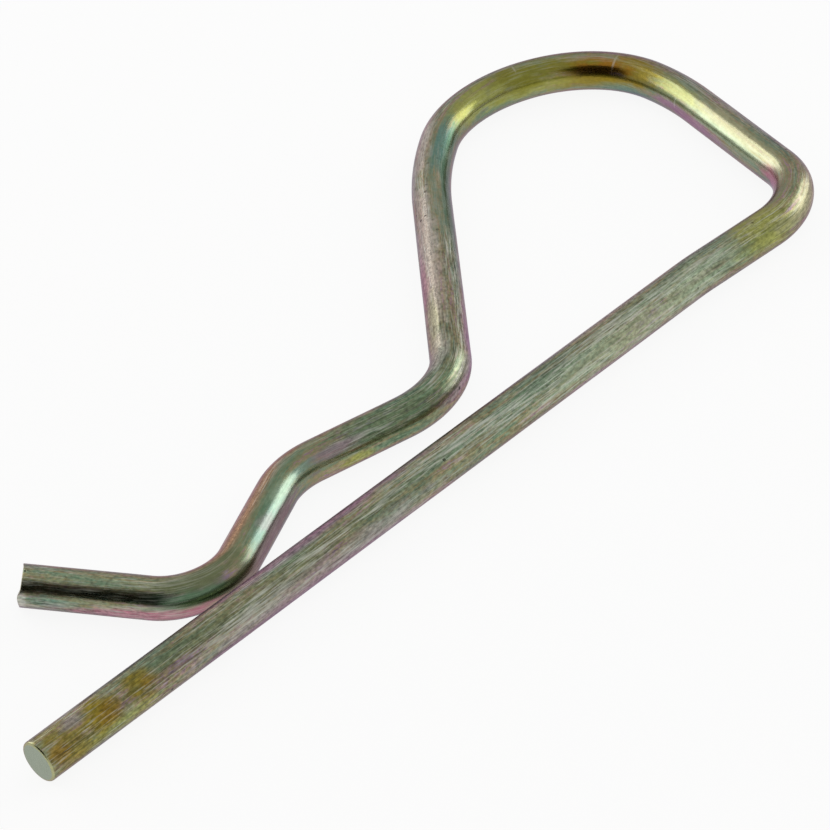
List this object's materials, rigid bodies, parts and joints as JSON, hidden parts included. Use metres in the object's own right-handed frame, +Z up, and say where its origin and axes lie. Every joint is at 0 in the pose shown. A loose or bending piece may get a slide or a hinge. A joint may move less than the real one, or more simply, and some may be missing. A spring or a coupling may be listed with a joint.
{
  "type": "hitch r clip pin",
  "caption": "Spring wire R clip: a straight leg goes through a hitch pin's cross hole, a wavy arm snaps round the pin, and a round loop takes a finger.",
  "frame": {"origin": "on the axis of the hitch pin that the clip holds, level with the surface that the clip lies on", "axes": "+X along the straight leg from its free end towards the loop, +Y from the leg to the wavy arm, +Z up, square to the clip's plane"},
  "size_m": [0.1365, 0.0571, 0.005],
  "materials": {
    "chromated_wire": "zinc plate with an olive yellow chromate film, lengthwise drawing streaks, satin"
  },
  "bodies": {
    "root": {"clip_wire": "chromated_wire"}
  },
  "joints": []
}
